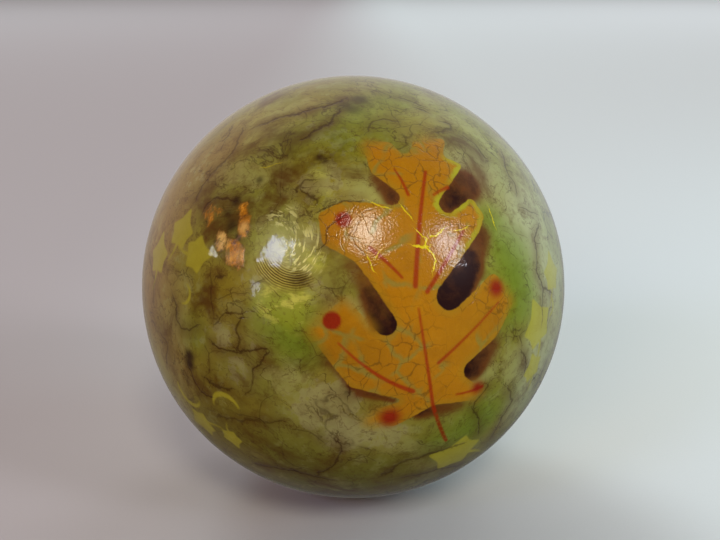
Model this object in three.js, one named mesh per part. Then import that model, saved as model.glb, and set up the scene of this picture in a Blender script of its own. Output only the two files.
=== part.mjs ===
// A decorative ball: one hard core, turned round, gilded with metal leaf, painted and varnished.
// It rests on a small flat spot under its centre, so that it stays where it is put.
// Millimetres, +Z up. The origin is the middle of the flat spot, and the painted leaf faces -Y.
import * as THREE from "three";

// Driving dimensions
const BALL_DIAMETER = 100;
const FLAT_SPOT_DIAMETER = 20;

// Facets of the ball: steps round it, and steps from the flat spot's rim up to the top.
const STEPS_ROUND = 80;
const STEPS_UP = 40;

// Sizes that follow from the driving dimensions
const BALL_RADIUS = BALL_DIAMETER / 2;
const FLAT_SPOT_RADIUS = FLAT_SPOT_DIAMETER / 2;
const CENTRE_HEIGHT = Math.sqrt(BALL_RADIUS ** 2 - FLAT_SPOT_RADIUS ** 2);
const FLAT_RIM_ANGLE = Math.asin(FLAT_SPOT_RADIUS / BALL_RADIUS);

// Half of the ball's outline, from the middle of the flat spot, out to its rim and round to the top.
// x is the distance from the ball's axis and y the height above the surface that it stands on.
function ballOutline() {
  const points = [new THREE.Vector2(0, 0)];
  for (let step = 0; step < STEPS_UP; step++) {
    const angle = THREE.MathUtils.lerp(FLAT_RIM_ANGLE, Math.PI, step / STEPS_UP);
    const out = BALL_RADIUS * Math.sin(angle);
    const height = CENTRE_HEIGHT - BALL_RADIUS * Math.cos(angle);
    points.push(new THREE.Vector2(out, height));
  }
  points.push(new THREE.Vector2(0, CENTRE_HEIGHT + BALL_RADIUS));
  return points;
}

// The olive-gold ground that most of the decoration shows, under clear gloss varnish.
const variedGround = new THREE.MeshStandardMaterial({ color: 0x8a8038, roughness: 0.15, metalness: 0.2 });

function makeBall() {
  const geometry = new THREE.LatheGeometry(ballOutline(), STEPS_ROUND);
  geometry.rotateX(Math.PI / 2); // the lathe's axis is Y, and the ball's is Z
  const ball = new THREE.Mesh(geometry, variedGround);
  ball.name = "ball";
  return ball;
}

const decorativeBall = new THREE.Group();
decorativeBall.add(makeBall());

export default decorativeBall;
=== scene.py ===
"""A round table ornament: a ball gilded with metal leaf, marbled, painted and varnished.

One piece stands for the solid ball. Its drawing is measured on the surface in millimetres, Geometry
Nodes raise the paint and wrinkle the leaf by it, and the finish colours it.
"""
import math

import bmesh
import bpy
import numpy as np
from mathutils import Matrix, Vector


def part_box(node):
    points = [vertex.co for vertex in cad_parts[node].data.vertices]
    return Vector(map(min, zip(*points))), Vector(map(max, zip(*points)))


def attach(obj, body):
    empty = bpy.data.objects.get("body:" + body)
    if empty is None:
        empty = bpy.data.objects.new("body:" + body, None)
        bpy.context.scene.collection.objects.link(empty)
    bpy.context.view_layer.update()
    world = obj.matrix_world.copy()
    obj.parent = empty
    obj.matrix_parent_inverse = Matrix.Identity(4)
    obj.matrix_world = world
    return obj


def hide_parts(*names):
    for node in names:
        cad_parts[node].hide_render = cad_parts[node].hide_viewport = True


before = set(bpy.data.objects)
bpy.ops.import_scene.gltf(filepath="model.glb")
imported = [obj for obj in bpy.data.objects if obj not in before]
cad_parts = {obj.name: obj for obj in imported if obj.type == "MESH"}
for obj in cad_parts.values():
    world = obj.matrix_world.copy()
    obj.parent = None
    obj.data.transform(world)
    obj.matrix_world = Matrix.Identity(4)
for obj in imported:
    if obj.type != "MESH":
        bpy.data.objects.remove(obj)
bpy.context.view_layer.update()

MM = 0.001

# The ball, from the frame
LOWEST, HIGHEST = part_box("ball")
BALL_RADIUS = (HIGHEST.x - LOWEST.x) / 2
CENTRE = Vector((0, 0, HIGHEST.z - BALL_RADIUS))
RADIUS_MM = BALL_RADIUS / MM

# The photograph's frame in pixels, and where the ball stands in it
IMAGE_WIDTH = 720
IMAGE_HEIGHT = 540
BALL_PIXEL = (353.5, 286.0)
OUTLINE_RADIUS_PIXELS = 210.7
CAMERA_RAISED = 17.5
CAMERA_DISTANCE = 5 * BALL_RADIUS
SENSOR_WIDTH_MM = 36

# The blank: cells along each side of the cube that is blown up to the ball, and the margin in
# millimetres round the drawing in which every cell is cut in four
CELLS_PER_SIDE = 100
FINE_MARGIN = 2.0

# Where the large leaf lies: degrees round to the right, degrees up, and its tilt to the right
LEAF_PLACE = (15.1, 17.6)
LEAF_TILT = 3
# Its edge, anticlockwise from the stem, as circles that a thread is drawn round (right, up, radius):
# the thread passes outside a lobe's corner, and inside a bay, whose radius is negative
LEAF_EDGE = (
    (6.5, -31.3, -5.5), (15.2, -24.2, 1.7), (13.4, -18.4, -2.3), (17.4, -10.8, 1.5),
    (20.8, -4.6, 2.0), (17.4, -0.4, 1.8), (6.9, -2.7, -2.9), (14.0, 11.3, 1.3), (15.2, 13.6, 1.3),
    (13.9, 16.3, 1.0), (8.0, 15.9, -1.9), (13.0, 25.2, 0.6), (11.0, 28.0, -1.2),
    (10.3, 31.5, 0.9), (4.4, 30.4, 1.3), (0.7, 29.3, -1.6), (-2.8, 29.4, 1.4), (-6.6, 29.5, 1.6),
    (-6.4, 23.6, 1.0), (-3.8, 17.4, -1.7), (-13.6, 15.8, 1.2), (-17.6, 13.9, 1.2),
    (-17.0, 9.2, 1.4), (-13.2, 3.4, -1.6), (-6.3, -8.0, -2.2), (-14.4, -4.6, 1.6),
    (-19.6, -9.0, 1.8), (-17.0, -13.2, 1.6), (-12.6, -19.8, 1.2), (-3.2, -24.2, -0.5),
    (-6.8, -27.2, 1.2), (-8.4, -29.0, 1.1), (-3.4, -29.4, 1.2),
)
# Its veins, each a brush stroke: first, bending and last point, and the half widths at both ends
LEAF_VEINS = (
    ((4.4, 23.2), (0.6, 12.0), (-0.4, -0.6), 0.34, 0.50),
    ((0.2, -5.0), (1.6, -14.0), (4.8, -25.5), 0.20, 0.40),
    ((4.8, -25.5), (7.0, -31.0), (10.7, -36.5), 0.40, 0.44),
    ((-2.4, 23.8), (-1.0, 21.0), (-0.3, 17.9), 0.18, 0.34),
    ((8.8, 19.7), (7.0, 19.0), (5.2, 17.9), 0.40, 0.20),
    ((-9.0, 7.0), (-6.0, 4.5), (-3.0, 1.1), 0.45, 0.25),
    ((10.9, 10.3), (6.5, 4.5), (2.0, -1.8), 0.30, 0.45),
    ((-15.7, -11.5), (-8.6, -19.0), (0.0, -22.2), 0.17, 0.48),
    ((18.8, -4.4), (12.5, -9.8), (4.9, -16.3), 0.17, 0.34),
    ((16.7, -22.8), (13.5, -23.8), (10.1, -23.8), 0.35, 0.22),
)
# Its red spots: right, up, radius of the full colour, and radius where it ends
LEAF_SPOTS = (
    (-13.9, 13.1, 1.2, 2.1), (-16.9, -7, 1.6, 2.1), (18.2, -1.5, 0.6, 3), (-4.3, -28.3, 0.7, 3.6),
    (15.4, -22.8, 0.2, 2.6),
)
# Tips that were sprayed and fade out: right, up, and radius, of which this share is full
FADE_START = 0.2
LEAF_FADES = (
    (-20, -8, 9), (21.5, -3, 7), (-8, -29, 7), (16.5, -24, 6), (-7, 30, 5), (6, 33, 5),
    (-13, -2, 6), (-9, -7, 4),
)
# The dark sprayed under the leaf's bays: first and last point, then half width, strength and
# softness at both
LEAF_SHADES = (
    ((-5.6, -8.6), (-8.6, -2.0), (2.6, 1.9), (1.00, 0.72), (2.2, 3.0)),
    ((-8.6, -2.0), (-12.4, 4.0), (1.4, 0.8), (0.66, 0.36), (3.0, 4.0)),
    ((7.2, -2.6), (10.8, 3.4), (3.4, 3.2), (1.00, 0.92), (2.2, 2.8)),
    ((10.4, 3.4), (14.0, 9.0), (3.0, 2.0), (0.86, 0.60), (2.8, 4.0)),
    ((7.6, 16.2), (13.4, 20.4), (1.7, 2.2), (0.72, 0.74), (3.0, 4.5)),
    ((13.4, 20.4), (17.0, 23.4), (1.8, 1.2), (0.66, 0.34), (4.5, 6.0)),
    ((-3.6, 17.4), (-6.4, 21.6), (1.4, 0.6), (0.66, 0.52), (2.0, 2.6)),
    ((-4.0, -24.2), (-11.0, -22.0), (0.1, 0.7), (0.74, 0.68), (1.2, 1.8)),
    ((-12.6, -21.0), (-16.8, -15.6), (0.3, 0.5), (0.62, 0.36), (1.8, 2.4)),
    ((13.2, -17.6), (16.8, -13.8), (2.4, 1.2), (0.92, 0.56), (2.6, 4.5)),
    ((2.4, -27.4), (11.5, -26.6), (0.9, 0.7), (0.70, 0.45), (2.4, 3.0)),
)
SHADE_OVERLAP = 0.5

# A little yellow leaf, drawn as the large one, with a brush stroke for its stalk, and a curled stalk
# as an arc; none reaches further than this from its middle
LITTLE_REACH = 12
LITTLE_LEAF_EDGE = (
    (0.0, -4.9, -1.6), (2.8, -3.4, 0.4), (5.9, -2.1, -2.5), (4.6, 1.0, 0.4), (4.6, 5.6, -3.4),
    (0.0, 6.0, 0.4), (-4.6, 5.6, -3.4), (-4.6, 1.0, 0.4), (-5.9, -2.1, -2.5), (-2.8, -3.4, 0.4),
)
LITTLE_STALK = ((0.0, -2.6), (-0.3, -5.6), (-2.0, -8.2), 0.45, 0.20)
CURL_RADIUS = 2.9
CURL_SWEEP = 170
CURL_HALF_WIDTH = 0.50
# The part of a sine's arch, in half turns, that the curl's width follows from end to end
CURL_TAPER = (0.12, 0.95)
CURL_POINTS = 25
# Where they lie: degrees round, degrees up, tilt, and size against the drawing above
LITTLE_LEAVES = (
    (-52.5, 24.5, 4, 0.82), (-43.6, 20.6, 80, 0.78), (-61.2, 16.3, -10, 0.87),
    (-46.6, -25.2, -110, 0.78), (-35.8, -26.8, 172, 0.56), (61.6, 11.3, 10, 0.84),
    (52.1, 0.7, -19, 1.08), (52, -10.7, -21, 0.7), (31.5, -32, -78, 1.2), (96, 20, 40, 1),
    (108, -6, -25, 0.9), (128, 28, 80, 1), (150, -18, 10, 1.05), (176, 12, -50, 0.95),
    (-158, -20, 65, 1), (-146, 26, -15, 0.95), (-118, -8, 30, 1), (-97, 30, -70, 0.9),
    (-84, -24, 15, 1), (-120, 58, -20, 0.95),
)
CURLS = (
    (-45.8, 10.8, 95, 0.75), (-33.5, -16.2, -14, 1.2), (-47.6, -15.4, -165, 1.3),
    (58.5, 4, 100, 0.7), (117, 12, 20, 1), (163, 2, -120, 0.9), (-133, 8, 60, 1),
    (-104, 12, 150, 0.9),
)

# Sprayed and wiped glazes, patches of painted light, and places made darker: degrees round, degrees up,
# radius where the colour has gone, and strength; this share of the radius has the full strength
PASS_START = 0.15
GLAZES = {
    "green_blush": (
        (43.7, 19, 11, 0.8), (44, 9, 11, 0.9), (39, 28, 8, 0.6), (-12.9, 6.5, 10, 0.9),
        (-20, 12, 8, 0.5), (-41, 2, 7, 0.4), (34, -21, 10, 0.9), (24, -26, 8, 0.6),
        (0, 58, 14, 0.6), (20, 66, 12, 0.3), (-24, 52, 9, 0.3), (120, 5, 18, 0.7),
        (-150, 5, 20, 0.7),
    ),
    "brown_glaze": (
        (-37.8, 9, 7, 1), (-38, 29, 9, 1), (-46, 33, 8, 0.8), (-45, 48.5, 8, 1),
        (-70, 70, 9, 0.8), (81, 67, 9, 0.7), (-44, -7, 6, 0.7), (-24, 40, 6, 0.8),
        (-34, 38, 8, 0.9), (-38.5, -4.8, 4, 0.6), (-13, 18.4, 2.6, 1), (-44, 38, 8, 0.8),
        (-42, 52, 11, 0.8), (-28, 46, 7, 0.7), (-1, 68, 8, 1), (-60, 6, 14, 0.5),
        (-30, -16, 6, 0.7), (-10, -46, 14, 0.6), (82, 10, 16, 0.6), (140, 30, 22, 0.8),
        (-120, -20, 24, 0.8),
    ),
    "gold_glaze": (
        (-10.3, 42.2, 9, 0.9), (-3, 50.8, 9, 0.8), (-14, 50, 9, 0.6), (-6, 30, 8, 0.7),
        (-31, 15, 8, 0.8), (-8, 8.5, 8, 0.9), (-4, -2, 7, 0.5), (4, 57, 9, 0.9), (18, 60, 9, 0.9),
        (30, 57, 8, 0.8), (45, 36, 8, 0.8), (-25, 48, 8, 0.5),
    ),
    # Partly a lime glaze, partly a painted glow of the metal leaf near the light
    "lime_glaze_and_glint": (
        (-19, 14.5, 5, 0.9), (-16, 15, 5, 1), (-13, 14.5, 5, 0.9), (-14, 10.5, 5, 0.9),
        (-18.5, 11.5, 5, 0.7), (-9, 24, 4, 0.7), (-6, 33, 5, 0.7), (-9.5, 37, 4, 0.6),
        (-12, 44, 4, 0.5),
    ),
    "tan_glaze": (
        (-66, 8, 18, 0.9), (-60, 28, 14, 0.8), (-56, 44, 14, 0.7), (-52, -6, 12, 0.7),
        (-80, 20, 30, 0.8), (-20, 74, 16, 0.3), (60, 32, 8, 0.4),
    ),
    # Partly the marbling's pale tone, partly painted light: paler on the right side and at the lower rims
    "pale_wash_and_painted_light": (
        (57, 26, 16, 0.9), (60, 10, 14, 0.9), (56, -10, 16, 0.9), (52, -20, 10, 0.7),
        (-57, -25, 8, 0.6), (-2.5, -19, 8, 0.4), (44, 42, 12, 0.6), (90, 20, 26, 0.5),
        (170, -10, 25, 0.6),
    ),
    # Darker towards the bottom of the ball
    "darker_below": (
        (-20, -45, 30, 0.9), (20, -50, 32, 0.9), (-36, -24, 14, 0.6), (150, -45, 35, 0.7),
        (-100, -45, 35, 0.7),
    ),
    "copper_leaf": (
        (-32, 33.5, 2.4, 0.9), (-30.5, 31, 2.8, 1), (-30, 28.5, 2.8, 1), (-36.5, 26, 2.6, 1),
        (-35.5, 24.5, 2.8, 1), (-32.5, 25, 2.2, 0.8), (-30, 23.5, 3, 0.9), (-32, 21.5, 2.8, 0.8),
        (-29, 20.5, 2.4, 0.7), (-44, 31, 3.4, 0.8), (-42, 28.5, 2.6, 0.7), (-40, 32, 2.4, 0.6),
    ),
    # A painted highlight on the copper beside the light
    "copper_painted_highlight": (
        (-36.5, 26, 2.6, 1), (-35.5, 24.5, 2.6, 1), (-30, 29, 2, 0.7), (-29.5, 22.5, 2, 0.5),
        (-32.5, 21.5, 1.6, 0.5),
    ),
    "ink_blot": (
        (-43.4, -4.4, 2.4, 1), (-43.8, -6.6, 2.2, 1), (-1, -5.6, 1.1, 1), (0.2, -6, 1.2, 1),
        (-1.4, -7.4, 0.9, 0.7), (-35.5, 35, 1.8, 0.9), (-36.5, 31.5, 1.8, 0.6),
        (-34, 29, 2.2, 0.8), (-31, 26.5, 1.2, 0.9), (-13.5, 18.5, 2.6, 0.5),
        (-11.5, 18.5, 1.8, 0.5), (-5, 67, 3, 0.5), (4.5, 70, 3, 0.6), (0, 65, 2.4, 0.4),
        (-30.2, 41, 1.4, 0.8), (-11.8, 48.4, 1.4, 0.8), (-9.6, 47.6, 1.2, 0.7),
    ),
    "cell_glaze": (
        (-31.3, 3.8, 5, 0.9), (-24.4, 3, 4, 0.6), (-27.5, -4.9, 6, 0.9), (-13, 40.5, 5.5, 1),
        (-8, 42, 6, 0.6), (-19, 13, 8, 0.9), (-24, 18, 6, 0.6), (8, -20, 9, 0.8),
        (-4, -10, 10, 0.8), (-9, 27, 7, 0.9), (-10, 45, 8, 0.7), (-6, 36, 7, 0.8),
        (-10, 17, 7, 0.7), (-12, -12, 9, 0.6), (-3, -9, 6, 1), (-8, -9, 5, 0.8),
        (-2, -17, 6, 0.8), (-3, -22, 7, 0.9), (-11, -15, 5, 0.7), (-36, 2, 7, 0.5),
        (-5, 54, 7, 0.7), (-16, 57, 6, 0.7), (-60, 38, 9, 0.6),
    ),
    # Darker over the lower half of the large leaf
    "darker_lower_leaf": (
        (-1, 2.5, 13, 0.9), (30, 4, 11, 0.5), (10, -8, 14, 0.2),
    ),
    "thumb_mark": (
        (-22, 20.5, 2.8, 0.8), (-19.5, 19.5, 3.4, 1), (-16.5, 18.5, 3.4, 1), (-13.5, 18.5, 3, 1),
        (-11, 18.5, 2, 0.7),
    ),
    "blister": (
        (-16.8, 25.7, 8.6, 1),
    ),
    "wrinkled": (
        (-12.6, 26, 6, 1), (-11.6, 22.5, 5, 1), (-18, 32.5, 3.6, 0.8), (-21.5, 33, 3, 0.7),
    ),
    "rippled": (
        (-16.8, 25.7, 9, 1), (-23.8, 15.2, 5, 0.8), (-36, 23, 5, 0.8), (27, 22.5, 5, 0.8),
    ),
    "bare_gold": (
        (22.5, 36, 6, 1), (34.5, 43.5, 5, 1), (33, 32, 6, 1), (31, 27, 5, 0.8),
    ),
}

# Dark hairlines in the marbling, and cracks that bare the gold, brightened into a painted glint: half
# width, strength, and places in degrees; beside its width a line fades out between the two gaps, and
# stains as far as the reach
LINE_FADE = (0.5, 2.0)
STAIN_REACH = 3
LINE_MARGIN = 6
LINES = {
    "hairline": (
        (0.26, 0.8, (-52, 33), (-52, 37), (-51, 41), (-49, 44), (-48, 48), (-54, 54)),
        (0.40, 1.0, (-46, 57), (-37, 61), (-29, 63), (-19, 66), (-10, 68), (-7, 70)),
        (0.34, 1.0, (-20, 54), (-12, 59), (-10, 62), (-7, 65)),
        (0.34, 1.0, (-17, 39), (-14, 38), (-12, 38), (-11, 37)),
        (0.26, 0.9, (-17, 39), (-15, 42), (-13, 42)),
        (0.24, 0.9, (-46, 31), (-46, 33), (-42, 35), (-36, 35)),
        (0.18, 0.8, (-10, 34), (-6, 36), (-3, 37), (2, 37)),
        (0.22, 0.9, (-50, 9), (-48, 7), (-48, 4), (-47, 3)),
        (0.22, 0.9, (-46, 2), (-43, 2), (-40, 4)),
        (0.18, 0.7, (-37, 17), (-36, 14), (-36, 11), (-35, 9)),
        (0.16, 0.6, (-33, 12), (-29, 14), (-26, 14)),
        (0.20, 0.8, (-34, 6), (-32, 8), (-30, 9), (-26, 10)),
        (0.22, 0.9, (-27, 8), (-28, 5), (-27, 4), (-28, 0)),
        (0.24, 1.0, (-35, 1), (-33, 0), (-28, 0), (-25, 1), (-22, 2), (-21, 2)),
        (0.24, 1.0, (-20, 1), (-22, -2), (-24, -4), (-24, -5)),
        (0.24, 0.9, (-44, -8), (-43, -11), (-41, -14), (-38, -14)),
        (0.36, 0.9, (-38, -9), (-34, -10), (-31, -10)),
        (0.20, 0.7, (-24, -6), (-25, -9), (-26, -10)),
        (0.40, 0.7, (-37, -20), (-30, -19), (-26, -18), (-18, -17)),
        (0.18, 0.7, (-15, -19), (-11, -19), (-8, -22)),
        (0.26, 0.9, (-4, -22), (-3, -25), (-4, -28), (-7, -33), (-11, -36)),
        (0.40, 0.9, (-32, -37), (-25, -36), (-18, -36), (-14, -37), (-7, -39)),
        (0.26, 1.0, (-1, -6), (-1, -8)),
        (0.32, 1.0, (-35, 17), (-34, 17)),
        (0.20, 0.8, (65, 44), (60, 41), (59, 39), (59, 36), (57, 34)),
        (0.18, 0.7, (56, 30), (60, 28), (63, 27)),
        (0.20, 0.9, (61, 24), (56, 22), (55, 18), (53, 14), (55, 10), (60, 7)),
        (0.18, 0.8, (55, 9), (54, 5), (54, 1)),
        (0.20, 0.7, (50, 52), (52, 49), (52, 45)),
        (0.20, 0.8, (6, 57), (9, 60), (15, 61), (20, 60)),
        (0.30, 0.9, (40, 64), (42, 63)),
        (0.26, 0.8, (38, 55), (47, 55), (49, 57), (46, 58)),
        (0.22, 0.7, (35, 70), (40, 68), (45, 65)),
        (0.20, 0.8, (31, -16), (31, -14), (33, -12), (34, -10)),
        (0.24, 0.9, (31, -16), (33, -19), (35, -22), (36, -25)),
        (0.24, 0.8, (42, -13), (46, -18), (44, -22), (44, -27), (44, -30)),
        (0.20, 0.8, (45, -4), (47, -6), (48, -10)),
        (0.20, 0.8, (61, -12), (60, -15), (59, -18)),
        (0.45, 0.8, (9, -36), (13, -31), (21, -29), (32, -28)),
        (0.40, 0.8, (17, -39), (27, -38), (37, -40)),
        (0.30, 0.7, (-70, 15), (-61, 10), (-61, 5)),
        (0.24, 0.7, (-57, -2), (-53, -4), (-56, -10)),
        (0.15, 1.0, (-2, 34), (-5, 32), (-7, 30), (-7, 27), (-8, 26)),
    ),
    "gold_line": (
        (
            0.24, 1.0, (15.5, 26), (17, 25.5), (18.5, 25.5),
            (19, 27), (19.5, 27.5), (21.5, 28), (23.5, 29),
        ),
        (0.22, 1.0, (18.5, 25.5), (19.5, 24), (20, 22), (19.5, 20.5)),
        (0.16, 0.9, (19.5, 27.5), (18, 28), (16.5, 29.5)),
        (0.16, 0.8, (3.5, 24), (4.5, 22), (5, 21)),
        (0.16, 0.7, (5.5, 24), (6.5, 25)),
        (0.16, 0.8, (27.5, 28.5), (29.5, 28.5), (31, 29)),
        (0.20, 0.9, (41, 31.5), (41, 29.5), (41, 28.5)),
        (0.20, 0.8, (5.5, 36.5), (7.5, 35.5), (9.5, 35)),
        (0.16, 0.8, (13.5, 35.5), (14.5, 34), (15.5, 32.5)),
        (0.18, 0.4, (-30.5, 44.5), (-28, 45), (-26, 46)),
    ),
}

# The finger's mark, the blister above it, and the rings that wrinkle it: middles in degrees, sizes in mm
THUMB_PLACE = (-14.5, 26.5)
THUMB_RIDGES = 0.48
BLISTER_PLACE = (-16.8, 25.7)
BLISTER_RADIUS = 7.0
RINGS_PLACE = (-19.6, 25.0)
BLISTER_RIDGES = 0.66
BLISTER_LEAN = -2.0
BLISTER_STRETCH = 2.0

# Relief of the coats in millimetres: heights, the slope at the paint's edge, and the sizes of the swirls
PAINT_THICKNESS = 0.025
PAINT_SLOPE = 0.8
WRINKLE_HEIGHT = 0.05
WRINKLE_SIZE = 7
FOIL_SIZE = 2.6
UNEVENNESS = 0.20
SWELL_SIZE = 24
# The rough brush lifts the leaf's paint by about this much, which is taken off to keep its edge even
BRUSH_LIFT = 0.065
# How much of the relief below it the varnish follows
VARNISH_FOLLOWS = 0.5

# The distance in millimetres that stands for nothing being near
FAR_OFF = 1e3

# The studio in metres: a window's plane meets the ground beyond the floor's rim, so its light has no
# edge on the floor
FLOOR_RADIUS = 6.0
WINDOW_DISTANCE = 6.0
# The paper in millimetres: its tooth's size, how far left and right it has turned fully from the darker,
# warmer painted shade on the left to the cool pale on the right, and the spot in front of the ball round
# which a painted shadow lies
PAPER_TOOTH = 0.6
PAPER_TURN = 140
SHADOW_SPOT = (22, -45)
SHADOW_FULL = 15
SHADOW_END = 75
SHADOW_TONE = 0.75


def linear(colour):
    """Turns an sRGB hex colour into the linear red, green, blue and alpha that a shader takes."""
    parts = [int(colour[i:i + 2], 16) / 255 for i in (1, 3, 5)]
    return [p / 12.92 if p <= 0.04045 else ((p + 0.055) / 1.055) ** 2.4 for p in parts] + [1.0]


def add_node(tree, kind, settings=None, inputs=None):
    """Adds a node with its settings; an input given as a socket is linked, and any other value is set."""
    node = tree.nodes.new(kind)
    for name, value in (settings or {}).items():
        setattr(node, name, value)
    for key, value in (inputs or {}).items():
        socket = node.inputs[key] if isinstance(key, int) else next(
            s for s in node.inputs if key in (s.identifier, s.name)
        )
        if isinstance(value, bpy.types.NodeSocket):
            tree.links.new(value, socket)
        else:
            socket.default_value = value
    return node


def add_object(name, data):
    """Puts an object into the scene."""
    thing = bpy.data.objects.new(name, data)
    bpy.context.scene.collection.objects.link(thing)
    return thing


def start_material(name):
    """A new material and its empty node tree."""
    material = bpy.data.materials.new(name)
    material.use_nodes = True
    material.node_tree.nodes.clear()
    return material, material.node_tree


# The drawing, measured on the ball


def ball_direction(around, up):
    """Unit vector from the ball's centre, by degrees round from the front to the right and degrees up."""
    a, b = math.radians(around), math.radians(up)
    return np.array([math.sin(a) * math.cos(b), -math.cos(a) * math.cos(b), math.sin(b)])


def lay_flat(directions, place, tilt):
    """Millimetres right and up of a drawing's middle, measured along the ball, for each direction."""
    normal = ball_direction(*place)
    east = np.cross((0, 0, 1), normal)
    east /= np.linalg.norm(east)
    north = np.cross(normal, east)
    turn = math.radians(tilt)
    right = east * math.cos(turn) - north * math.sin(turn)
    top = east * math.sin(turn) + north * math.cos(turn)
    angle = np.arccos(np.clip(directions @ normal, -1, 1))
    reach = RADIUS_MM * angle / np.maximum(np.sin(angle), 1e-4)
    return np.stack([directions @ right, directions @ top], axis=1) * reach[:, None]


def ease(low, high, values):
    """Rises smoothly from 0 at low to 1 at high."""
    t = np.clip((values - low) / (high - low), 0, 1)
    return t * t * (3 - 2 * t)


def thread_round(circles, step=0.35):
    """The closed outline of a thread drawn outside the positive and inside the negative circles."""
    spots = [np.array(c[:2]) for c in circles]
    radii = [c[2] for c in circles]
    count = len(circles)
    normals = []
    for i in range(count):
        across = spots[(i + 1) % count] - spots[i]
        length = np.linalg.norm(across)
        forward = across / length
        left = np.array([-forward[1], forward[0]])
        lean = (radii[(i + 1) % count] - radii[i]) / length
        normals.append(lean * forward + math.sqrt(max(0.0, 1 - lean * lean)) * left)
    outline = []
    for i in range(count):
        before, after = normals[i - 1], normals[i]
        start = math.atan2(before[1], before[0])
        turn = math.atan2(after[1], after[0]) - start
        turn = turn % math.tau if radii[i] > 0 else -(-turn % math.tau)
        steps = max(2, round(abs(turn * radii[i]) / step))
        for k in range(steps + 1):
            angle = start + turn * k / steps
            outline.append(spots[i] - radii[i] * np.array([math.cos(angle), math.sin(angle)]))
    return np.array(outline)


def brush_stroke(first, bend, last, steps=10):
    """Points along a stroke that leaves its first point towards the bend and ends at the last."""
    t = np.linspace(0, 1, steps + 1)[:, None]
    return (1 - t) ** 2 * np.array(first) + 2 * t * (1 - t) * np.array(bend) + t ** 2 * np.array(last)


def distance_to_stroke(points, path, half_widths):
    """Distance from each point to a stroke's edge, negative inside it."""
    best = np.full(len(points), FAR_OFF)
    for start, end, near, far in zip(path[:-1], path[1:], half_widths[:-1], half_widths[1:]):
        along = end - start
        t = np.clip((points - start) @ along / max(along @ along, 1e-9), 0, 1)
        gap = np.linalg.norm(points - start - t[:, None] * along, axis=1)
        best = np.minimum(best, gap - near - (far - near) * t)
    return best


def distance_to_outline(points, outline):
    """Distance from each point to a closed outline, negative inside it."""
    ring = np.vstack([outline, outline[:1]])
    inside = np.zeros(len(points), bool)
    for (x0, y0), (x1, y1) in zip(ring[:-1], ring[1:]):
        if y0 == y1:
            continue
        crosses = (points[:, 1] < y0) != (points[:, 1] < y1)
        inside ^= crosses & (points[:, 0] < x0 + (points[:, 1] - y0) * (x1 - x0) / (y1 - y0))
    gap = distance_to_stroke(points, ring, np.zeros(len(ring)))
    return np.where(inside, -gap, gap)


def draw_leaf(directions):
    """The large leaf: distances to its edge and veins, and its spots, fades and shades from 0 to 1."""
    points = lay_flat(directions, LEAF_PLACE, LEAF_TILT)
    edge = distance_to_outline(points, thread_round(LEAF_EDGE))
    veins = np.full(len(points), FAR_OFF)
    for first, bend, last, near, far in LEAF_VEINS:
        path = brush_stroke(first, bend, last)
        veins = np.minimum(veins, distance_to_stroke(points, path, np.linspace(near, far, len(path))))
    spots = np.zeros(len(points))
    for right, up, full, end in LEAF_SPOTS:
        reach = np.linalg.norm(points - (right, up), axis=1)
        spots = np.maximum(spots, 1 - ease(full, end, reach))
    fades = np.zeros(len(points))
    for right, up, radius in LEAF_FADES:
        reach = np.linalg.norm(points - (right, up), axis=1)
        fades = np.maximum(fades, 1 - ease(FADE_START * radius, radius, reach))
    shades = np.zeros(len(points))
    for first, last, widths, strengths, softness in LEAF_SHADES:
        start, along = np.array(first), np.array(last) - np.array(first)
        t = np.clip((points - start) @ along / (along @ along), 0, 1)
        gap = np.linalg.norm(points - start - t[:, None] * along, axis=1)
        half_width, strength, soft = (
            np.interp(t, (0, 1), pair) for pair in (widths, strengths, softness)
        )
        bare = ease(half_width - SHADE_OVERLAP, half_width + soft, gap)
        shades = np.maximum(shades, strength * (1 - bare))
    return {
        "leaf_edge": edge, "vein_edge": veins, "red_spot": spots, "leaf_fade": fades, "bay_shade": shades,
    }


def draw_little_leaves(directions):
    """The yellow leaves and curls: how far each direction is from the nearest one's edge."""
    leaf = thread_round(LITTLE_LEAF_EDGE)
    *bends, thick, thin = LITTLE_STALK
    stalk = brush_stroke(*bends)
    stalk_widths = np.linspace(thick, thin, len(stalk))
    sweep = np.radians(np.linspace(0, CURL_SWEEP, CURL_POINTS))
    curl = CURL_RADIUS * np.stack([np.cos(sweep), np.sin(sweep)], axis=1)
    widths = CURL_HALF_WIDTH * np.sin(np.linspace(*CURL_TAPER, CURL_POINTS) * math.pi)
    best = np.full(len(directions), FAR_OFF)
    for drawing, places in (("leaf", LITTLE_LEAVES), ("curl", CURLS)):
        for around, up, tilt, size in places:
            near = directions @ ball_direction(around, up) > math.cos(LITTLE_REACH / RADIUS_MM)
            points = lay_flat(directions[near], (around, up), tilt) / size
            if drawing == "leaf":
                gap = np.minimum(
                    distance_to_outline(points, leaf), distance_to_stroke(points, stalk, stalk_widths)
                )
            else:
                gap = distance_to_stroke(points, curl, widths)
            best[near] = np.minimum(best[near], gap * size)
    return {"little_leaf_edge": best}


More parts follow.
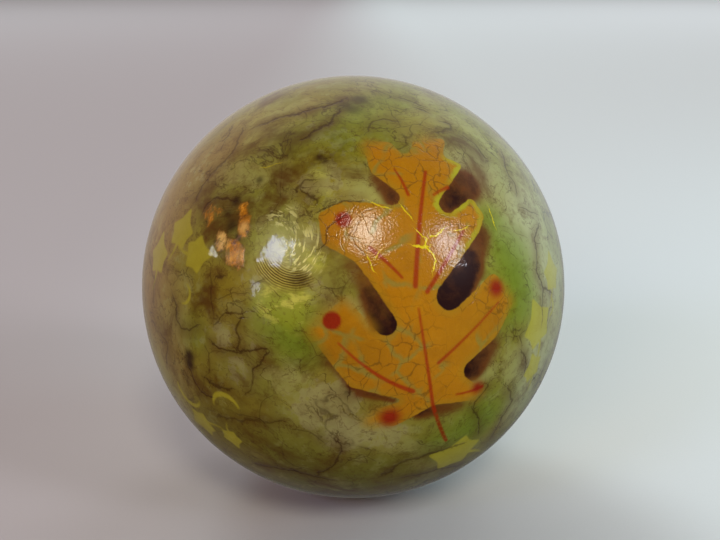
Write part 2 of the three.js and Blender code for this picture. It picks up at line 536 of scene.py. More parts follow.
def draw_lines(directions):
    """Hairlines and cracks: half widths that each direction lies beside one, strength and stain."""
    fields = {}
    for name, lines in LINES.items():
        nearest = np.full(len(directions), FAR_OFF)
        beside = np.full(len(directions), FAR_OFF)
        strength = np.zeros(len(directions))
        stain = np.zeros(len(directions))
        for half_width, dark, *places in lines:
            path = lay_flat(np.array([ball_direction(*place) for place in places]), places[0], 0)
            reach = np.linalg.norm(path, axis=1).max() + LINE_MARGIN
            near = np.flatnonzero(directions @ ball_direction(*places[0]) > math.cos(reach / RADIUS_MM))
            points = lay_flat(directions[near], places[0], 0)
            gap = np.full(len(points), FAR_OFF)
            side = np.full(len(points), FAR_OFF)
            for start, along in zip(path[:-1], np.diff(path, axis=0)):
                t = np.clip((points - start) @ along / (along @ along), 0, 1)
                off = points - start - t[:, None] * along
                away = np.linalg.norm(off, axis=1)
                turn = np.sign(along[0] * off[:, 1] - along[1] * off[:, 0])
                side = np.where(away < gap, turn * away, side)
                gap = np.minimum(away, gap)
            closer = gap - half_width < nearest[near]
            nearest[near[closer]] = (gap - half_width)[closer]
            beside[near[closer]] = side[closer] / half_width
            full, none = (half_width + gap_beside for gap_beside in LINE_FADE)
            shade = dark * (1 - ease(full, none, gap))
            strength[near[closer]] = shade[closer]
            stain[near] = np.maximum(stain[near], dark * (1 - ease(0, half_width + STAIN_REACH, gap)))
        fields.update({name + "_side": beside, name + "_strength": strength, name + "_stain": stain})
    del fields["gold_line_stain"]
    return fields


def wipe_glazes(directions):
    """Each glaze's strength from 0 to 1, as soft round passes that add up."""
    glazes = {}
    for name, passes in GLAZES.items():
        bare = np.ones(len(directions))
        for around, up, radius, strength in passes:
            reach = RADIUS_MM * np.arccos(np.clip(directions @ ball_direction(around, up), -1, 1))
            bare *= 1 - strength * (1 - ease(PASS_START * radius, radius, reach))
        glazes[name] = 1 - bare
    return glazes


# The ball


def mesh_directions(mesh_vertices):
    """Unit vectors from the ball's centre to each vertex of a blank that is centred on the origin."""
    places = np.array([v.co for v in mesh_vertices])
    return places / np.linalg.norm(places, axis=1)[:, None]


def make_blank():
    """A cube of even cells blown up to a ball, with the cells under the drawing cut in four."""
    shape = bmesh.new()
    bmesh.ops.create_cube(shape, size=2)
    bmesh.ops.subdivide_edges(shape, edges=shape.edges[:], cuts=CELLS_PER_SIDE - 1, use_grid_fill=True)
    for vertex in shape.verts:
        vertex.co = Vector([math.tan(c * math.pi / 4) for c in vertex.co]).normalized()
    directions = mesh_directions(shape.verts)
    leaf_edge = draw_leaf(directions)["leaf_edge"]
    little_edge = draw_little_leaves(directions)["little_leaf_edge"]
    drawn = np.minimum(leaf_edge, little_edge) < FINE_MARGIN
    fine = [e for e in shape.edges if all(drawn[v.index] for v in e.verts)]
    bmesh.ops.subdivide_edges(shape, edges=fine, cuts=1, use_grid_fill=True)
    for vertex in shape.verts:
        vertex.co = vertex.co.normalized() * BALL_RADIUS
    bmesh.ops.recalc_face_normals(shape, faces=shape.faces[:])
    mesh = bpy.data.meshes.new("ball_blank")
    shape.to_mesh(mesh)
    shape.free()
    directions = mesh_directions(mesh.vertices)
    for draw in (draw_leaf, draw_little_leaves, draw_lines, wipe_glazes):
        fields = draw(directions)
        for name, values in fields.items():
            attribute = mesh.attributes.new(name, "FLOAT", "POINT")
            attribute.data.foreach_set("value", values.astype(np.float32))
    mesh.transform(Matrix.Translation(CENTRE))
    return mesh


def relief_tree(finish):
    """Raises the painted leaf, wrinkles the metal leaf, and levels the spot that the ball rests on."""
    tree = bpy.data.node_groups.new("ball_relief", "GeometryNodeTree")
    for name, direction, kind in (
        ("Blank", "INPUT", "NodeSocketGeometry"),
        ("Paint thickness", "INPUT", "NodeSocketFloat"),
        ("Wrinkle height", "INPUT", "NodeSocketFloat"),
        ("Unevenness", "INPUT", "NodeSocketFloat"),
        ("Ball", "OUTPUT", "NodeSocketGeometry"),
    ):
        tree.interface.new_socket(name, in_out=direction, socket_type=kind)
    given = add_node(tree, "NodeGroupInput").outputs
    place = add_node(tree, "GeometryNodeInputPosition").outputs[0]
    normal = add_node(tree, "GeometryNodeInputNormal").outputs[0]
    edge, fade = (
        add_node(
            tree, "GeometryNodeInputNamedAttribute", {"data_type": "FLOAT"}, {"Name": name}
        ).outputs[0]
        for name in ("leaf_edge", "leaf_fade")
    )
    kept = add_node(tree, "ShaderNodeMath", {"operation": "SUBTRACT"}, {0: 1.0, 1: fade}).outputs[0]
    painted = add_node(
        tree, "ShaderNodeMapRange", {"interpolation_type": "SMOOTHSTEP"},
        {
            "Value": edge, "From Min": PAINT_SLOPE, "From Max": -PAINT_SLOPE, "To Min": 0.0,
            "To Max": kept,
        },
    ).outputs[0]
    paint = add_node(
        tree, "ShaderNodeMath", {"operation": "MULTIPLY"}, {0: painted, 1: given["Paint thickness"]}
    ).outputs[0]
    wrinkles = add_node(
        tree, "ShaderNodeTexNoise", {"noise_type": "RIDGED_MULTIFRACTAL"},
        {
            "Vector": place, "Scale": 1 / (WRINKLE_SIZE * MM), "Detail": 1.5, "Roughness": 0.5,
            "Distortion": 0.6,
        },
    ).outputs[0]
    wrinkled = add_node(
        tree, "ShaderNodeMath", {"operation": "MULTIPLY"}, {0: wrinkles, 1: given["Wrinkle height"]}
    ).outputs[0]
    swell = add_node(
        tree, "ShaderNodeTexNoise", {},
        {"Vector": place, "Scale": 1 / (SWELL_SIZE * MM), "Detail": 1.0, "Roughness": 0.5},
    ).outputs[0]
    uneven = add_node(
        tree, "ShaderNodeMath", {"operation": "MULTIPLY_ADD"},
        {0: swell, 1: given["Unevenness"], 2: paint},
    ).outputs[0]
    height = add_node(tree, "ShaderNodeMath", {"operation": "ADD"}, {0: uneven, 1: wrinkled}).outputs[0]
    offset = add_node(
        tree, "ShaderNodeVectorMath", {"operation": "SCALE"}, {"Vector": normal, "Scale": height}
    ).outputs[0]
    raised = add_node(
        tree, "GeometryNodeSetPosition", {}, {"Geometry": given["Blank"], "Offset": offset}
    ).outputs[0]
    lifted_place = add_node(tree, "GeometryNodeInputPosition").outputs[0]
    resting = add_node(
        tree, "ShaderNodeVectorMath", {"operation": "MAXIMUM"}, {0: lifted_place, 1: (-1.0, -1.0, 0.0)}
    ).outputs[0]
    rested = add_node(
        tree, "GeometryNodeSetPosition", {}, {"Geometry": raised, "Position": resting}
    ).outputs[0]
    smooth = add_node(tree, "GeometryNodeSetShadeSmooth", {}, {"Geometry": rested}).outputs[0]
    whole = add_node(tree, "GeometryNodeRealizeInstances", {}, {"Geometry": smooth}).outputs[0]
    finished = add_node(
        tree, "GeometryNodeSetMaterial", {}, {"Geometry": whole, "Material": finish}
    ).outputs[0]
    add_node(tree, "NodeGroupOutput", {}, {"Ball": finished})
    return tree


def make_ball(finish):
    """The gilded and painted ball as one plain mesh."""
    blank = add_object("ball_blank", make_blank())
    modifier = blank.modifiers.new("relief", "NODES")
    modifier.node_group = relief_tree(finish)
    sizes = {
        "Paint thickness": PAINT_THICKNESS * MM,
        "Wrinkle height": WRINKLE_HEIGHT * MM,
        "Unevenness": UNEVENNESS * MM,
    }
    for socket in modifier.node_group.interface.items_tree:
        if socket.name in sizes:
            modifier[socket.identifier] = sizes[socket.name]
    evaluated = blank.evaluated_get(bpy.context.evaluated_depsgraph_get())
    mesh = bpy.data.meshes.new_from_object(evaluated)
    mesh.name = "gilded_ball"
    ball = add_object("gilded_ball", mesh)
    bpy.data.objects.remove(blank)
    return ball


# The finish


def ball_spot(place):
    """A place on the ball, given in degrees, in millimetres."""
    return (CENTRE + Vector(ball_direction(*place)) * BALL_RADIUS) / MM


def painted_metal_leaf():
    """Metal leaf on a hard ball, marbled with thin glazes, painted, and flooded with clear gloss varnish.

    The metal glints through the glazes, and some glints and highlights are also painted into the colour;
    the paint is dull under the gloss, and cracks cross it.
    """
    material, tree = start_material("painted_metal_leaf_under_varnish")
    place = add_node(tree, "ShaderNodeTexCoord").outputs["Object"]
    spot = add_node(
        tree, "ShaderNodeVectorMath", {"operation": "SCALE"}, {"Vector": place, "Scale": 1 / MM}
    ).outputs[0]
    drawn = {}
    for name in (
        "leaf_edge", "vein_edge", "red_spot", "leaf_fade", "bay_shade", "little_leaf_edge",
        "hairline_side", "hairline_strength", "hairline_stain", "gold_line_side", "gold_line_strength",
        *GLAZES,
    ):
        drawn[name] = add_node(tree, "ShaderNodeAttribute", {"attribute_name": name}).outputs["Fac"]

    # Places pushed about by noise, so that streaks and cracks wander: size of the swirls, reach, detail
    drifts = {}
    for name, size, reach, detail in (("slow", 24, 22.0, 4.0), ("quick", 4, 3.2, 5.0)):
        swirl = add_node(
            tree, "ShaderNodeTexNoise", {},
            {"Vector": spot, "Scale": 1 / size, "Detail": detail, "Roughness": 0.45},
        ).outputs["Color"]
        drifts[name] = add_node(
            tree, "ShaderNodeVectorMath", {"operation": "MULTIPLY_ADD"},
            {0: swirl, 1: (reach, reach, reach), 2: spot},
        ).outputs[0]
    streak = add_node(
        tree, "ShaderNodeMapping", {},
        {"Vector": drifts["slow"], "Rotation": (0.4, 0.75, 0.0), "Scale": (0.42, 1.0, 1.0)},
    ).outputs[0]
    upright, flattened = (
        add_node(tree, "ShaderNodeMapping", {}, {"Vector": spot, "Scale": stretch}).outputs[0]
        for stretch in ((1.0, 1.0, 0.45), (0.6, 0.6, 1.6))
    )

    # Noises: where they are read, size in millimetres, detail and roughness
    noises = {}
    for name, where, size, detail, rough in (
        ("patch", drifts["slow"], 17, 6, 0.55),
        ("smear", streak, 9, 7, 0.60),
        ("cloud", spot, 24, 2, 0.50),
        ("fade", spot, 8, 2, 0.50),
        ("thread", drifts["slow"], 8, 5, 0.55),
        ("grain", spot, 1.2, 4, 0.60),
        ("tooth", spot, 0.5, 2, 0.60),
        ("jag", spot, 2.4, 4, 0.60),
        ("ripple", spot, 3.4, 1, 0.50),
        ("flake", upright, 1.8, 6, 0.72),
        ("mottle", drifts["quick"], 4.5, 5, 0.65),
        ("glint", flattened, 3.0, 4, 0.60),
    ):
        noises[name] = add_node(
            tree, "ShaderNodeTexNoise", {},
            {"Vector": where, "Scale": 1 / size, "Detail": detail, "Roughness": rough},
        ).outputs[0]

    # A drawing shifts the noise that breaks it up
    for name, source, drawing, shift in (
        ("patch_pale", "patch", "pale_wash_and_painted_light", 0.14),
        ("patch", "patch_pale", "darker_below", -0.08),
        ("smear_pale", "smear", "pale_wash_and_painted_light", -0.12),
        ("smear", "smear_pale", "brown_glaze", 0.18),
        ("copper", "flake", "copper_leaf", 0.46),
        ("pale_cell", "jag", "cell_glaze", 0.50),
        ("bay", "mottle", "bay_shade", 1.00),
        ("ragged_leaf", "grain", "leaf_edge", 2.0),
        ("gold_edge", "jag", "leaf_edge", 0.5),
        ("hairline", "jag", "hairline_side", 0.11),
        ("gold_line", "jag", "gold_line_side", 0.10),
    ):
        noises[name] = add_node(
            tree, "ShaderNodeMath", {"operation": "MULTIPLY_ADD"},
            {0: drawn[drawing], 1: shift, 2: noises[source]},
        ).outputs[0]

    # Cells of the cracks: where they are read and their size; a little grain makes them ragged
    ragged = add_node(
        tree, "ShaderNodeMath", {"operation": "MULTIPLY"}, {0: noises["grain"], 1: 0.4}
    ).outputs[0]
    for name, where, size in (
        ("fracture", drifts["slow"], 19),
        ("crackle", drifts["quick"], 3.3),
        ("wide_crack", drifts["quick"], 8),
    ):
        cells = add_node(
            tree, "ShaderNodeTexVoronoi", {"feature": "DISTANCE_TO_EDGE"},
            {"Vector": where, "Scale": 1 / size, "Randomness": 1.0},
        ).outputs["Distance"]
        noises[name] = add_node(
            tree, "ShaderNodeMath", {"operation": "MULTIPLY_ADD"}, {0: cells, 1: size, 2: ragged}
        ).outputs[0]

    # Lines where a noise passes a level
    for name, source, level in (
        ("patch_line", "patch", 0.515), ("smear_line", "smear", 0.56), ("thread_line", "thread", 0.5),
        ("hairline_gap", "hairline", 0.5), ("gold_gap", "gold_line", 0.5),
    ):
        gap = add_node(
            tree, "ShaderNodeMath", {"operation": "SUBTRACT"}, {0: noises[source], 1: level}
        ).outputs[0]
        noises[name] = add_node(tree, "ShaderNodeMath", {"operation": "ABSOLUTE"}, {0: gap}).outputs[0]

    # Ridges of the finger's mark, which noises bend
    reach = add_node(
        tree, "ShaderNodeVectorMath", {"operation": "DISTANCE"}, {0: spot, 1: ball_spot(THUMB_PLACE)}
    ).outputs["Value"]
    phase = 0.0
    for source, turns in ((noises["fade"], 16.0), (noises["jag"], 4.0), (reach, math.tau / THUMB_RIDGES)):
        phase = add_node(
            tree, "ShaderNodeMath", {"operation": "MULTIPLY_ADD"}, {0: source, 1: turns, 2: phase}
        ).outputs[0]
    noises["thumb_ridge"] = add_node(
        tree, "ShaderNodeMath", {"operation": "SINE"}, {0: phase}
    ).outputs[0]

    # Short wrinkles that run round the middle of the blister, and its broken rim
    off_middle = add_node(
        tree, "ShaderNodeVectorMath", {"operation": "SUBTRACT"}, {0: spot, 1: ball_spot(RINGS_PLACE)}
    ).outputs[0]
    sides = add_node(tree, "ShaderNodeSeparateXYZ", {}, {0: off_middle}).outputs
    bearing = add_node(
        tree, "ShaderNodeMath", {"operation": "ARCTAN2"}, {0: sides["Z"], 1: sides["X"]}
    ).outputs[0]
    reach = add_node(
        tree, "ShaderNodeVectorMath", {"operation": "DISTANCE"}, {0: spot, 1: ball_spot(RINGS_PLACE)}
    ).outputs["Value"]
    leaning = add_node(
        tree, "ShaderNodeMath", {"operation": "MULTIPLY_ADD"}, {0: bearing, 1: BLISTER_LEAN, 2: reach}
    ).outputs[0]
    turned = add_node(
        tree, "ShaderNodeMath", {"operation": "MULTIPLY"}, {0: bearing, 1: BLISTER_STRETCH}
    ).outputs[0]
    rolled = add_node(tree, "ShaderNodeCombineXYZ", {}, {"X": leaning, "Y": turned, "Z": 0.0}).outputs[0]
    noises["blister_ridge"] = add_node(
        tree, "ShaderNodeTexNoise", {},
        {"Vector": rolled, "Scale": 1 / BLISTER_RIDGES, "Detail": 2.0, "Roughness": 0.5},
    ).outputs[0]
    reach = add_node(
        tree, "ShaderNodeVectorMath", {"operation": "DISTANCE"}, {0: spot, 1: ball_spot(BLISTER_PLACE)}
    ).outputs["Value"]
    rim_gap = add_node(
        tree, "ShaderNodeMath", {"operation": "SUBTRACT"}, {0: reach, 1: BLISTER_RADIUS}
    ).outputs[0]
    noises["blister_rim"] = add_node(
        tree, "ShaderNodeMath", {"operation": "ABSOLUTE"}, {0: rim_gap}
    ).outputs[0]

    # Masks from 0 to 1: what they are read from, and the values at which they are 0 and 1
    masks = {}
    sources = {**drawn, **noises}
    for name, source, none, full in (
        ("pale", "patch", 0.47, 0.58),
        ("yellow", "cloud", 0.46, 0.62),
        ("brown", "smear", 0.52, 0.74),
        ("fade", "fade", 0.44, 0.60),
        ("unfade", "fade", 0.58, 0.44),
        ("patch_line", "patch_line", 0.010, 0.0),
        ("smear_line", "smear_line", 0.008, 0.0),
        ("thread_line", "thread_line", 0.010, 0.0),
        ("fracture", "fracture", 0.40, 0.14),
        ("halo", "fracture", 3.2, 0.2),
        ("hairline", "hairline_gap", 0.19, 0.0),
        ("gold_line", "gold_gap", 0.11, 0.04),
        ("crackle", "crackle", 0.36, 0.20),
        ("wide_crack", "wide_crack", 1.00, 0.25),
        ("cracked", "cloud", 0.36, 0.54),
        ("copper", "copper", 0.70, 0.98),
        # Brighter copper flecks, partly the leaf's own shimmer and partly painted glints
        ("copper_flecks_and_glint", "flake", 0.50, 0.70),
        ("copper_dark", "jag", 0.55, 0.64),
        ("pale_cell", "pale_cell", 0.78, 0.88),
        ("thumb", "thumb_ridge", 0.5, -0.5),
        ("blister_rim", "blister_rim", 0.7, 0.0),
        ("broken", "ripple", 0.44, 0.58),
        # Painted glints of the metal leaf in the lime glaze
        ("glint", "glint", 0.50, 0.62),
        ("speck", "grain", 0.52, 0.70),
        ("mottle_pale", "mottle", 0.52, 0.66),
        ("mottle_dark", "mottle", 0.48, 0.34),
        # Painted glints along the blister's wrinkles
        ("blister_glint", "blister_ridge", 0.53, 0.62),
        ("bay_brown", "bay_shade", 0.0, 0.62),
        ("bay_dark", "bay", 1.02, 1.52),
        ("leaf_sharp", "ragged_leaf", 0.85, 0.15),
        ("leaf_soft", "leaf_edge", 2.5, -2.5),
        ("leaf_rim", "leaf_edge", -1.9, -0.4),
        ("leaf_relief", "leaf_edge", 0.8, -1.4),
        ("leaf_gold", "gold_edge", -0.22, 0.24),
        ("vein", "vein_edge", 0.30, -0.25),
        ("little_leaf", "little_leaf_edge", 0.30, -0.25),
    ):
        masks[name] = add_node(
            tree, "ShaderNodeMapRange", {"interpolation_type": "SMOOTHSTEP"},
            {"Value": sources[source], "From Min": none, "From Max": full},
        ).outputs[0]
    masks["leaf"] = add_node(
        tree, "ShaderNodeMix", {"data_type": "FLOAT"},
        {
            "Factor_Float": drawn["leaf_fade"], "A_Float": masks["leaf_sharp"],
            "B_Float": masks["leaf_soft"],
        },
    ).outputs[0]
    # What is left of each where something else cuts it
    cutters = {**drawn, **masks}
    for name, source, cutter in (
        ("patch_line", masks, "fade"),
        ("smear_line", masks, "unfade"),
        ("fracture", masks, "fade"),
        ("halo", masks, "fade"),
        ("hairline", masks, "hairline_strength"),
        ("gold_line", masks, "gold_line_strength"),
        ("copper_dark", masks, "copper_leaf"),
        ("copper_flecks_and_glint", masks, "copper"),
        ("copper_painted_highlight", drawn, "copper"),
        ("thumb", masks, "thumb_mark"),
        ("thumb_ridge", noises, "thumb_mark"),
        ("blister_glint", masks, "wrinkled"),
        ("blister_ridge", noises, "wrinkled"),
        ("blister_rim", masks, "broken"),
        ("flake", noises, "copper"),
        ("ripple", noises, "rippled"),
        ("tooth", noises, "rippled"),
        ("glint", masks, "lime_glaze_and_glint"),
        ("crackle", masks, "cracked"),
        ("wide_crack", masks, "fade"),
        ("leaf_gold", masks, "bare_gold"),
    ):
        masks[name] = add_node(
            tree, "ShaderNodeMath", {"operation": "MULTIPLY"}, {0: source[name], 1: cutters[cutter]}
        ).outputs[0]

    # The coats, from the ground up, some of them painted glints and highlights: where each lies, how much
    # it covers, and its colour.
    # The leaf's own paint is mixed apart, because its edge cuts off everything on it.
    paints = {}
    places = {**drawn, **masks}
    for name, first, coats in (
        ("ground", linear("#9a963a"), (
            ("pale", 0.75, "#b6b062"),
            ("yellow", 0.45, "#a2861e"),
            ("cell_glaze", 0.45, "#beb860"),
            ("gold_glaze", 0.60, "#a8901e"),
            ("tan_glaze", 0.70, "#946a3c"),
            # Partly a pale wash, partly painted light on the right side and the lower rims
            ("pale_wash_and_painted_light", 0.68, "#cccea0"),
            # Darker towards the bottom of the ball
            ("darker_below", 0.50, "#4a3e1a"),
            ("mottle_pale", 0.35, "#b4b468"),
            ("mottle_dark", 0.38, "#6a4414"),
            ("pale_cell", 0.58, "#bab274"),
            ("brown", 0.80, "#603610"),
            ("green_blush", 0.70, "#7a9a1e"),
            # Partly a lime glaze, partly a painted glow of the metal leaf
            ("lime_glaze_and_glint", 0.65, "#b4ba2c"),
            # Painted glints of the metal leaf
            ("glint", 0.90, "#e4e060"),
            ("halo", 0.25, "#6a4a24"),
            ("hairline_stain", 0.48, "#643a1a"),
            ("speck", 0.30, "#5c3410"),
            ("thread_line", 0.40, "#5a3018"),
            ("smear_line", 0.60, "#502a10"),
            ("patch_line", 0.60, "#422010"),
            ("fracture", 0.60, "#3c1e10"),
            ("blister", 0.40, "#b8b46a"),
            ("thumb_mark", 0.60, "#c4ac40"),
            ("thumb", 0.85, "#4a3008"),
            # Painted glints along the blister's wrinkles
            ("blister_glint", 0.90, "#f6ee90"),
            ("copper_leaf", 0.60, "#6e4216"),
            ("copper", 0.90, "#c87c0e"),
            # Brighter copper flecks, partly the leaf's own shimmer and partly painted glints
            ("copper_flecks_and_glint", 0.80, "#f8b440"),
            # A painted highlight on the copper
            ("copper_painted_highlight", 0.70, "#ffdc80"),
            ("copper_dark", 0.80, "#2c1c08"),
            ("ink_blot", 0.90, "#30120f"),
            ("bay_brown", 0.92, "#6a3210"),
            ("bay_dark", 1.00, "#2a1210"),
            ("little_leaf", 0.76, "#b0a628"),
        )),
        ("leaf", linear("#b87a08"), (
            ("yellow", 0.40, "#b0740e"),
            # Darker over the lower half of the large leaf
            ("darker_lower_leaf", 0.60, "#946808"),
            ("mottle_pale", 0.25, "#c88c10"),
            ("mottle_dark", 0.25, "#8c5808"),
            ("leaf_rim", 0.30, "#9c8420"),
            ("wide_crack", 0.62, "#868638"),
            ("crackle", 0.54, "#60420e"),
            ("leaf_gold", 0.85, "#b2b024"),
        )),
        ("surface", None, (
            ("leaf", 1.00, None),
            ("vein", 0.88, "#a03006"),
            ("red_spot", 0.95, "#94200c"),
            # Gold in the cracks, brightened into a painted glint
            ("gold_line", 0.95, "#f0d818"),
            ("hairline", 0.70, "#40220f"),
        )),
    ):
        paint = first or paints["ground"]
        for where, share, colour in coats:
            amount = add_node(
                tree, "ShaderNodeMath", {"operation": "MULTIPLY"}, {0: places[where], 1: share}
            ).outputs[0]
            paint = add_node(
                tree, "ShaderNodeMix", {"data_type": "RGBA"},
                {
                    "Factor_Float": amount, "A_Color": paint,
                    "B_Color": linear(colour) if colour else paints["leaf"],
                },
            ).outputs[2]
        paints[name] = paint

    # How much metal shows: some through the glazes, little in the tarnished copper, none in the paint
    metal = 0.30
    for name, share in (
        ("thumb_mark", 0.40),
        ("lime_glaze_and_glint", 0.30),
        ("copper", 0.10),
        ("copper_dark", 0.0),
        ("bay_shade", 0.0),
        ("little_leaf", 0.0),
        ("leaf", 0.0),
    ):
        metal = add_node(
            tree, "ShaderNodeMix", {"data_type": "FLOAT"},
            {"Factor_Float": places[name], "A_Float": metal, "B_Float": share},
        ).outputs[0]

    # Fine relief in millimetres: wrinkled leaf in the ground, cracks and a rough brush in the paint,
    # and the varnish, which follows both half way and ripples over the blister
    foil = add_node(
        tree, "ShaderNodeTexNoise", {"noise_type": "RIDGED_MULTIFRACTAL"},
        {"Vector": spot, "Scale": 1 / FOIL_SIZE, "Detail": 3.0, "Roughness": 0.55, "Distortion": 0.8},
    ).outputs[0]
    heights = {"ground": 0.0, "leaf": -BRUSH_LIFT, "varnish": 0.0}
    for coat, mask, height in (
        ("ground", foil, 0.020),
        ("ground", masks["thumb_ridge"], 0.012),
        ("ground", masks["blister_ridge"], 0.045),
        ("ground", masks["blister_rim"], 0.020),
        ("ground", masks["hairline"], -0.030),
        ("ground", masks["flake"], 0.090),
        ("leaf", noises["grain"], 0.090),
        ("leaf", noises["tooth"], 0.090),
        ("leaf", masks["crackle"], -0.030),
        ("leaf", masks["wide_crack"], -0.040),
        ("varnish", masks["ripple"], 0.160),
        ("varnish", masks["tooth"], 0.012),
        ("varnish", noises["ripple"], 0.020),
        ("varnish", masks["thumb_ridge"], -0.005),
    ):
        heights[coat] = add_node(
            tree, "ShaderNodeMath", {"operation": "MULTIPLY_ADD"},
            {0: mask, 1: height, 2: heights[coat]},
        ).outputs[0]
    relief = add_node(
        tree, "ShaderNodeMix", {"data_type": "FLOAT"},
        {
            "Factor_Float": masks["leaf_relief"], "A_Float": heights["ground"],
            "B_Float": heights["leaf"],
        },
    ).outputs[0]
    flooded = add_node(
        tree, "ShaderNodeMath", {"operation": "MULTIPLY_ADD"},
        {0: relief, 1: VARNISH_FOLLOWS, 2: heights["varnish"]},
    ).outputs[0]
    normals = {}
    for name, height in (("paint", relief), ("varnish", flooded)):
        normals[name] = add_node(
            tree, "ShaderNodeBump", {}, {"Height": height, "Strength": 1.0, "Distance": MM}
        ).outputs[0]

    shader = add_node(
        tree, "ShaderNodeBsdfPrincipled", {},
        {
            "Base Color": paints["surface"], "Metallic": metal, "Roughness": 0.34,
            "Specular IOR Level": 0.1, "Normal": normals["paint"],
            "Coat Weight": 1.0, "Coat Roughness": 0.06, "Coat IOR": 1.5,
            "Coat Normal": normals["varnish"],
        },
    ).outputs[0]
    add_node(tree, "ShaderNodeOutputMaterial", {}, {"Surface": shader})
    return material


def floor_paper():
    """Matt paper: pale, with a faint tooth, painted shade that makes it darker and warmer to the left,
    and a painted shadow before the ball.
    """
    material, tree = start_material("matt_paper")
    place = add_node(tree, "ShaderNodeTexCoord").outputs["Object"]
    tooth = add_node(
        tree, "ShaderNodeTexNoise", {},
        {"Vector": place, "Scale": 1 / (PAPER_TOOTH * MM), "Detail": 2.0, "Roughness": 0.5},
    ).outputs[0]
    # Painted shade: darker and warmer to the left
    across = add_node(tree, "ShaderNodeSeparateXYZ", {}, {0: place}).outputs["X"]
    warmth = add_node(
        tree, "ShaderNodeMapRange", {"interpolation_type": "SMOOTHSTEP"},
        {"Value": across, "From Min": -PAPER_TURN * MM, "From Max": PAPER_TURN * MM},
    ).outputs[0]
    tone = add_node(
        tree, "ShaderNodeMix", {"data_type": "RGBA"},
        {"Factor_Float": warmth, "A_Color": linear("#c4babb"), "B_Color": linear("#e9eded")},
    ).outputs[2]
    # A painted shadow in front of the ball
    reach = add_node(
        tree, "ShaderNodeVectorMath", {"operation": "DISTANCE"},
        {0: place, 1: (SHADOW_SPOT[0] * MM, SHADOW_SPOT[1] * MM, 0.0)},
    ).outputs["Value"]
    painted_shadow = add_node(
        tree, "ShaderNodeMapRange", {"interpolation_type": "SMOOTHSTEP"},
        {
            "Value": reach, "From Min": SHADOW_FULL * MM, "From Max": SHADOW_END * MM, "To Min": SHADOW_TONE,
            "To Max": 1.0,
        },
    ).outputs[0]
    for share, mask in ((1.0, painted_shadow), (0.04, tooth)):
        tone = add_node(
            tree, "ShaderNodeMix", {"data_type": "RGBA", "blend_type": "MULTIPLY"},
            {"Factor_Float": share, "A_Color": tone, "B_Color": mask},
        ).outputs[2]
    normal = add_node(
        tree, "ShaderNodeBump", {}, {"Height": tooth, "Strength": 0.4, "Distance": 0.02 * MM}
    ).outputs[0]
    shader = add_node(
        tree, "ShaderNodeBsdfPrincipled", {},
        {"Base Color": tone, "Roughness": 0.7, "Specular IOR Level": 0.2, "Normal": normal},
    ).outputs[0]
    add_node(tree, "ShaderNodeOutputMaterial", {}, {"Surface": shader})
    return material


# The studio


def make_floor():
    """A wide pale floor under the ball, its paper painted with shade and a shadow."""
    shape = bmesh.new()
    bmesh.ops.create_circle(shape, cap_ends=True, segments=96, radius=FLOOR_RADIUS)
    mesh = bpy.data.meshes.new("floor")
    shape.to_mesh(mesh)
    shape.free()
    mesh.materials.append(floor_paper())
    floor = add_object("floor", mesh)
    floor.visible_glossy = False


def hang_light(light, around, up, distance, power, colour):
    """Hangs a light in a direction from the ball, facing it and out of sight."""
    light.energy = power
    light.color = linear(colour)[:3]
    lamp = add_object(light.name, light)
    lamp.location = CENTRE + Vector(ball_direction(around, up)) * distance
    lamp.rotation_euler = (CENTRE - lamp.location).to_track_quat("-Z", "Y").to_euler()
    lamp.visible_camera = False
    return lamp


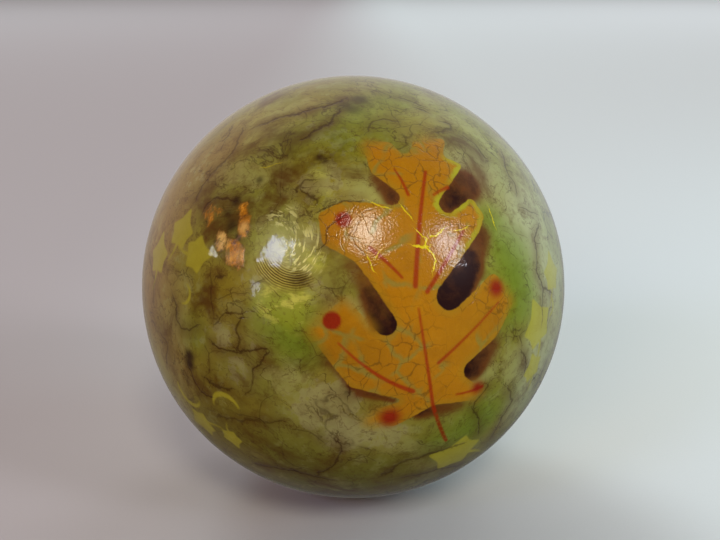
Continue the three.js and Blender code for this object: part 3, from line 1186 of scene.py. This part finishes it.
def make_studio():
    """Windows in front, which the varnish mirrors, soft lamps, which it doesn't, and a pale room behind.

    Each hangs in a direction in degrees; its size is in metres and its power in watts.
    """
    for name, around, up, width, height, power, colour in (
        ("window_left", -47, 29.5, 1.59, 1.26, 59, "#ccd4ff"),
        ("window_low", -52, 9, 0.60, 1.08, 9, "#e8ecff"),
        ("window_far", -82.6, 16.2, 1.00, 0.18, 6, "#ffffff"),
        ("window_middle", 10, 44.5, 1.38, 1.65, 92, "#fff8e4"),
        ("window_right", 58.0, 26.5, 1.14, 2.10, 86, "#f0f4ff"),
    ):
        window = bpy.data.lights.new(name, "AREA")
        window.shape = "RECTANGLE"
        window.size = width
        window.size_y = height
        hang_light(window, around, up, WINDOW_DISTANCE, power, colour)
    for name, around, up, distance, radius, power, colour in (
        ("lamp_right", 87, 27, 0.6, 0.19, 4.2, "#c9f3ff"),
        ("lamp_behind", 154, 32, 3.25, 0.6, 56, "#f4f6ff"),
        ("lamp_left", -150, 36, 3.0, 0.55, 70, "#e3f9ff"),
        ("lamp_front", -26, 24.5, 4.7, 0.8, 163, "#ffc9a9"),
    ):
        lamp = bpy.data.lights.new(name, "POINT")
        lamp.shadow_soft_size = radius
        hang_light(lamp, around, up, distance, power, colour).visible_glossy = False
    world = bpy.data.worlds.new("pale_room")
    world.use_nodes = True
    tree = world.node_tree
    towards = add_node(tree, "ShaderNodeTexCoord").outputs["Generated"]
    sides = add_node(tree, "ShaderNodeSeparateXYZ", {}, {0: towards}).outputs
    behind = add_node(
        tree, "ShaderNodeMapRange", {"interpolation_type": "SMOOTHSTEP"},
        {"Value": sides["Y"], "From Min": -0.1, "From Max": 0.7, "To Min": 0.02, "To Max": 0.66},
    ).outputs[0]
    below = add_node(
        tree, "ShaderNodeMapRange", {},
        {"Value": sides["Z"], "From Min": -0.6, "From Max": 0.0, "To Min": 0.2},
    ).outputs[0]
    brightness = add_node(
        tree, "ShaderNodeMath", {"operation": "MULTIPLY"}, {0: behind, 1: below}
    ).outputs[0]
    warmth = add_node(
        tree, "ShaderNodeMapRange", {}, {"Value": sides["X"], "From Min": -0.6, "From Max": 0.6}
    ).outputs[0]
    colour = add_node(
        tree, "ShaderNodeMix", {"data_type": "RGBA"},
        {"Factor_Float": warmth, "A_Color": linear("#e8d0b8"), "B_Color": linear("#e4eef2")},
    ).outputs[2]
    background = tree.nodes["Background"]
    tree.links.new(colour, background.inputs["Color"])
    tree.links.new(brightness, background.inputs["Strength"])
    bpy.context.scene.world = world
    bpy.context.scene.view_settings.view_transform = "Standard"


def make_camera():
    """The photograph's view: the ball's outline has the photograph's size and place in the frame."""
    reach = math.sqrt(CAMERA_DISTANCE ** 2 - BALL_RADIUS ** 2)
    focal_pixels = OUTLINE_RADIUS_PIXELS * reach / BALL_RADIUS
    data = bpy.data.cameras.new("camera")
    data.sensor_width = SENSOR_WIDTH_MM
    data.lens = focal_pixels / IMAGE_WIDTH * SENSOR_WIDTH_MM
    camera = add_object("camera", data)
    towards = Vector(ball_direction(0, CAMERA_RAISED))
    camera.location = CENTRE + towards * CAMERA_DISTANCE
    right = Vector((1, 0, 0))
    upward = towards.cross(right)
    pixel = CAMERA_DISTANCE / focal_pixels
    aim = CENTRE + right * (IMAGE_WIDTH / 2 - BALL_PIXEL[0]) * pixel
    aim += upward * (BALL_PIXEL[1] - IMAGE_HEIGHT / 2) * pixel
    camera.rotation_euler = (aim - camera.location).to_track_quat("-Z", "Y").to_euler()
    bpy.context.scene.camera = camera


make_camera()
make_studio()
make_floor()
ball = make_ball(painted_metal_leaf())
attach(ball, "root")
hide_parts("ball")
